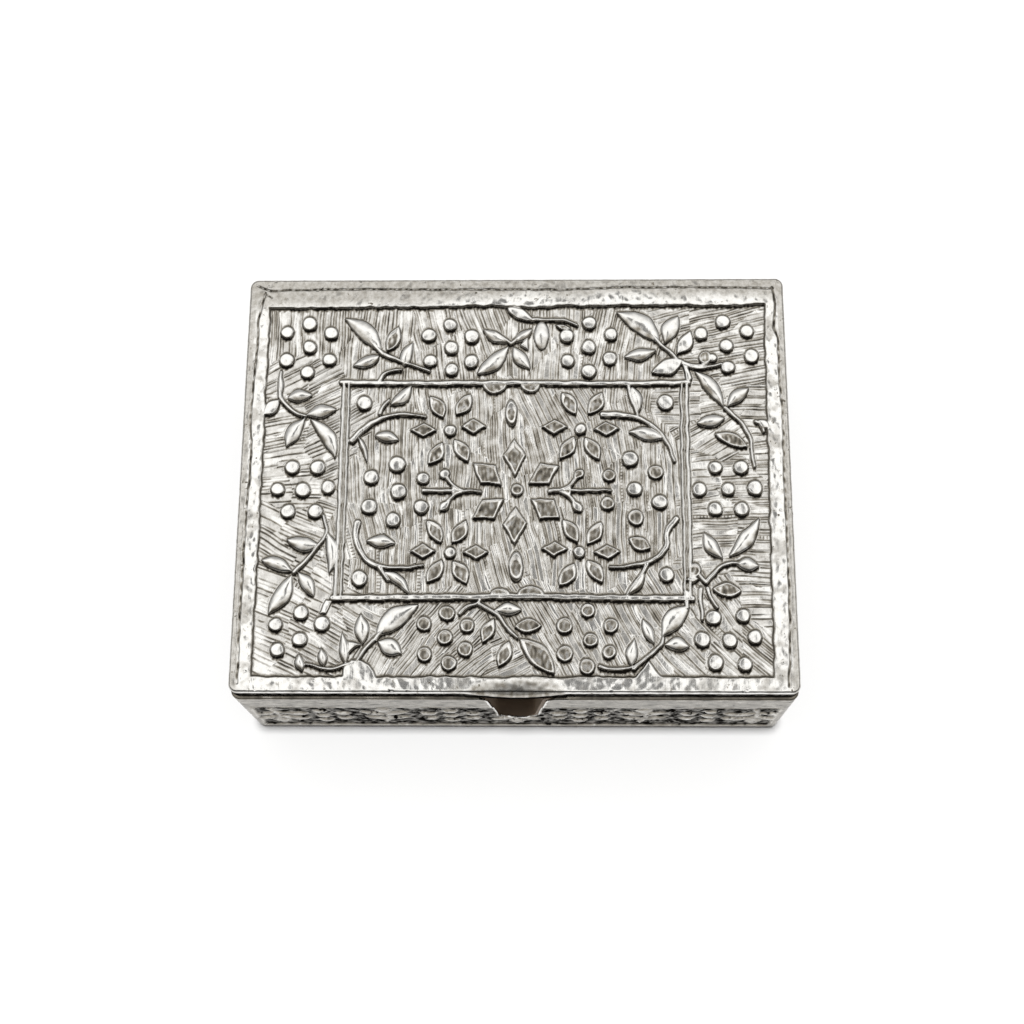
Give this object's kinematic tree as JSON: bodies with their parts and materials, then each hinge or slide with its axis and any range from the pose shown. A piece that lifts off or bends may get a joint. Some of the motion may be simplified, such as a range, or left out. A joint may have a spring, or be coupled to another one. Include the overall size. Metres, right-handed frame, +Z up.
{
  "type": "rosary box",
  "caption": "Small keepsake box with a hinged lid and a front thumb notch: wooden walls covered with embossed silver-coloured sheet in a flower and dot pattern, lined with velvet.",
  "frame": {"origin": "on the table under the middle of the closed box", "axes": "+Z up, +X to the right seen from the notch side, +Y to the hinged back"},
  "size_m": [0.1, 0.079, 0.0331],
  "materials": {
    "embossed_sheet": "hand-embossed soft sheet, burnished on the high parts and dark in the hollows",
    "box_wood": "bare sawn softwood, brown-stained at the notch",
    "velvet": "short-pile velvet on paper backing",
    "felt": "self-adhesive felt",
    "hinge_brass": "pressed brass, slightly tarnished",
    "pin_steel": "drawn wire",
    "nail_brass": "small brass nails, hammered flush"
  },
  "bodies": {
    "base": {"bottom_board": "box_wood", "front_wall": "box_wood", "back_wall": "box_wood", "left_wall": "box_wood", "right_wall": "box_wood", "front_cover": "embossed_sheet", "back_cover": "embossed_sheet", "left_cover": "embossed_sheet", "right_cover": "embossed_sheet", "base_felt": "felt", "floor_lining": "velvet", "front_lining": "velvet", "back_lining": "velvet", "left_lining": "velvet", "right_lining": "velvet", "left_hinge_base_leaf": "hinge_brass", "right_hinge_base_leaf": "hinge_brass", "left_hinge_pin": "pin_steel", "right_hinge_pin": "pin_steel", "hinge_base_nails": "nail_brass"},
    "lid": {"lid_board": "box_wood", "lid_cover": "embossed_sheet", "lid_lining": "velvet", "left_hinge_lid_leaf": "hinge_brass", "right_hinge_lid_leaf": "hinge_brass", "hinge_lid_nails": "nail_brass"}
  },
  "joints": [
    {"name": "lid_hinge", "type": "hinge", "parent": "base", "child": "lid", "pos_m": [0, 0.03825, 0.0294], "axis": [-1, 0, 0], "range_deg": [0, 105]}
  ]
}
